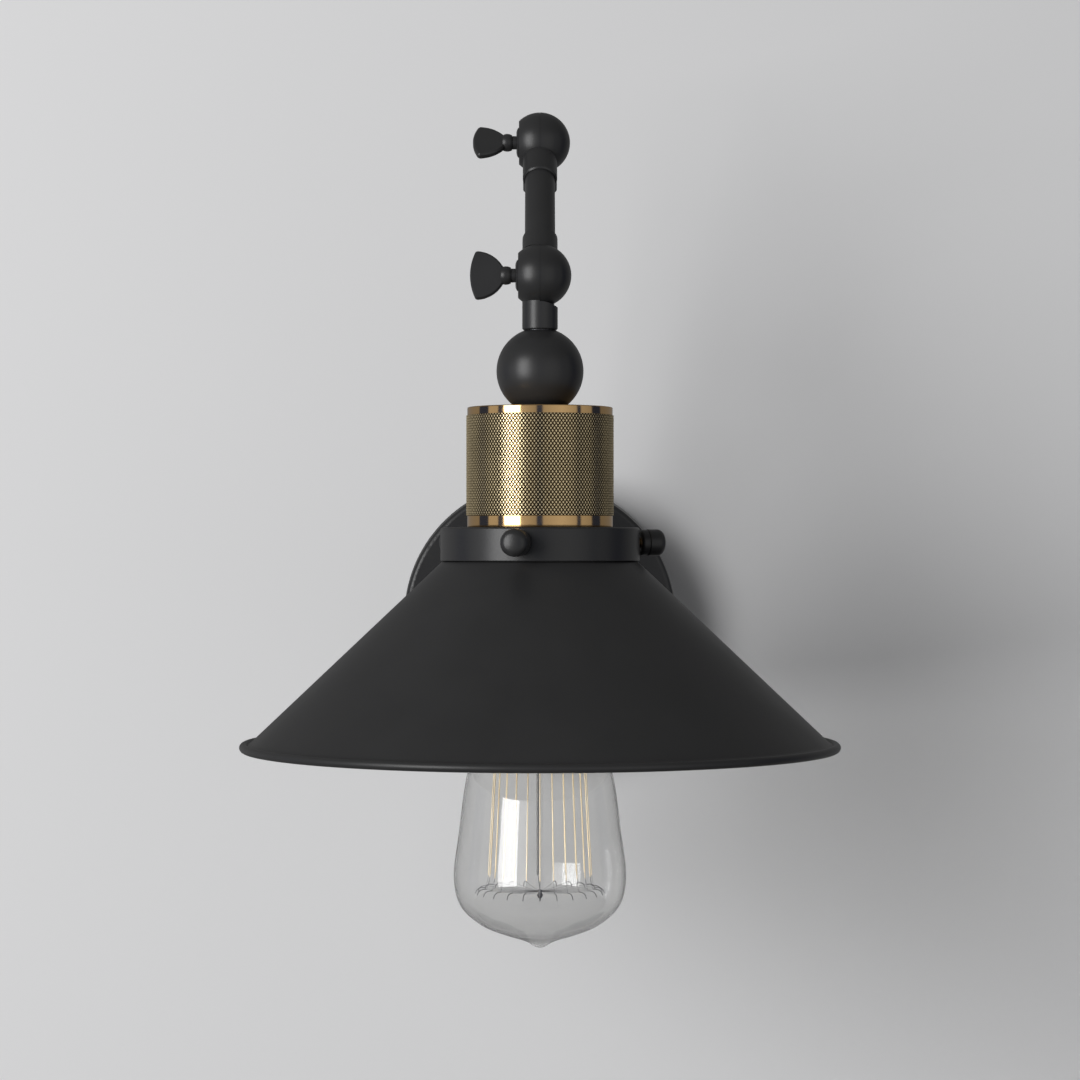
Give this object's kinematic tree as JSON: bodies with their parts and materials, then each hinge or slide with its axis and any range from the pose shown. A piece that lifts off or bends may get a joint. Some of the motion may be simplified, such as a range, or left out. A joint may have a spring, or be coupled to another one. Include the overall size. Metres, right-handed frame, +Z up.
{
  "type": "swing arm wall sconce",
  "caption": "Wall sconce with a jointed arm on clamped ball knuckles, a knurled brass socket cup and a wide cone shade over a long filament bulb.",
  "frame": {"origin": "middle of the canopy's back face, on the wall", "axes": "+Y into the wall, +Z up, +X to the right of a person who faces the wall"},
  "size_m": [0.2242, 0.3101, 0.3196],
  "materials": {
    "black_coat": "satin black powder coat",
    "shade_coat": "matte black powder coat, white inside",
    "brass": "brushed, lacquered",
    "zinc_steel": "zinc plated",
    "green_screw": "green lacquer",
    "nylon": "natural nylon",
    "phenolic": "moulded black phenolic",
    "shell_brass": "pressed, bright",
    "cap_metal": "pressed, bright",
    "vitrite": "black vitrified glass",
    "bulb_glass": "clear",
    "stem_glass": "clear lead glass",
    "support_wire": "dark molybdenum wire",
    "filament_wire": "amber wire"
  },
  "bodies": {
    "wall_mount": {"box_bar": "zinc_steel", "canopy_bar": "zinc_steel", "bar_screw": "zinc_steel", "ground_screw": "green_screw", "canopy_screws": "zinc_steel", "cap_nuts": "black_coat", "canopy": "black_coat", "hub_bush": "black_coat"},
    "base_swivel": {"base_knuckle": "black_coat", "base_friction_washer": "nylon", "swivel_nipple": "zinc_steel", "swivel_washer": "zinc_steel", "swivel_nut": "zinc_steel"},
    "base_screw": {"base_wing_screw": "black_coat"},
    "rear_arm": {"rear_arm_lower_knuckle": "black_coat", "base_cap_washer": "black_coat", "rear_arm_tube": "black_coat", "rear_arm_upper_knuckle": "black_coat", "elbow_friction_washer": "nylon"},
    "elbow_screw": {"elbow_wing_screw": "black_coat"},
    "front_arm": {"front_arm_upper_knuckle": "black_coat", "elbow_cap_washer": "black_coat", "front_arm_tube": "black_coat", "front_arm_lower_knuckle": "black_coat", "head_friction_washer": "nylon"},
    "head_screw": {"head_wing_screw": "black_coat"},
    "head": {"head_knuckle": "black_coat", "head_cap_washer": "black_coat", "head_ball": "black_coat", "socket_cup": "brass", "head_nipple": "zinc_steel", "nipple_nut": "zinc_steel", "fitter_ring": "black_coat", "shade": "shade_coat", "holder_cap": "phenolic", "holder_shell": "phenolic", "holder_ring": "phenolic", "screw_shell": "shell_brass", "centre_contact": "shell_brass"},
    "front_thumbscrew": {"front_shade_stud": "brass", "front_shade_knob": "black_coat"},
    "right_thumbscrew": {"right_shade_stud": "brass", "right_shade_knob": "black_coat"},
    "left_thumbscrew": {"left_shade_stud": "brass", "left_shade_knob": "black_coat"},
    "bulb": {"bulb_cap": "cap_metal", "bulb_insulator": "vitrite", "bulb_contact": "cap_metal", "bulb_glass": "bulb_glass", "bulb_stem": "stem_glass", "filament_hubs": "support_wire", "filament": "filament_wire"}
  },
  "joints": [
    {"name": "base_swing", "type": "hinge", "parent": "wall_mount", "child": "base_swivel", "pos_m": [0, -0.027, 0], "axis": [0, 1, 0], "range_deg": [-90, 90]},
    {"name": "base_tilt", "type": "hinge", "parent": "base_swivel", "child": "rear_arm", "pos_m": [0, -0.045, 0], "axis": [1, 0, 0], "range_deg": [-28, 45]},
    {"name": "elbow", "type": "hinge", "parent": "rear_arm", "child": "front_arm", "pos_m": [0, -0.1492, 0.1893], "axis": [-1, 0, 0], "range_deg": [-2, 110]},
    {"name": "head_tilt", "type": "hinge", "parent": "front_arm", "child": "head", "pos_m": [0, -0.198, 0.133], "axis": [1, 0, 0], "range_deg": [-90, 10]},
    {"name": "base_screw_turn", "type": "hinge", "parent": "base_swivel", "child": "base_screw", "pos_m": [0, -0.045, 0], "axis": [-1, 0, 0], "range_deg": [0, 180]},
    {"name": "elbow_screw_turn", "type": "hinge", "parent": "rear_arm", "child": "elbow_screw", "pos_m": [0, -0.1492, 0.1893], "axis": [-1, 0, 0], "range_deg": [0, 180]},
    {"name": "head_screw_turn", "type": "hinge", "parent": "front_arm", "child": "head_screw", "pos_m": [0, -0.198, 0.133], "axis": [-1, 0, 0], "range_deg": [0, 180]},
    {"name": "front_thumbscrew_turn", "type": "hinge", "parent": "head", "child": "front_thumbscrew", "pos_m": [0, -0.198, 0.033], "axis": [-0.2011, -0.9796, 0], "range_deg": [0, 180]},
    {"name": "right_thumbscrew_turn", "type": "hinge", "parent": "head", "child": "right_thumbscrew", "pos_m": [0, -0.198, 0.033], "axis": [0.9511, 0.309, 0], "range_deg": [0, 180]},
    {"name": "left_thumbscrew_turn", "type": "hinge", "parent": "head", "child": "left_thumbscrew", "pos_m": [0, -0.198, 0.033], "axis": [-0.7431, 0.6691, 0], "range_deg": [0, 180]},
    {"name": "bulb_turn", "type": "hinge", "parent": "head", "child": "bulb", "pos_m": [0, -0.198, 0.01], "axis": [0, 0, -1], "range_deg": [0, 360]}
  ]
}
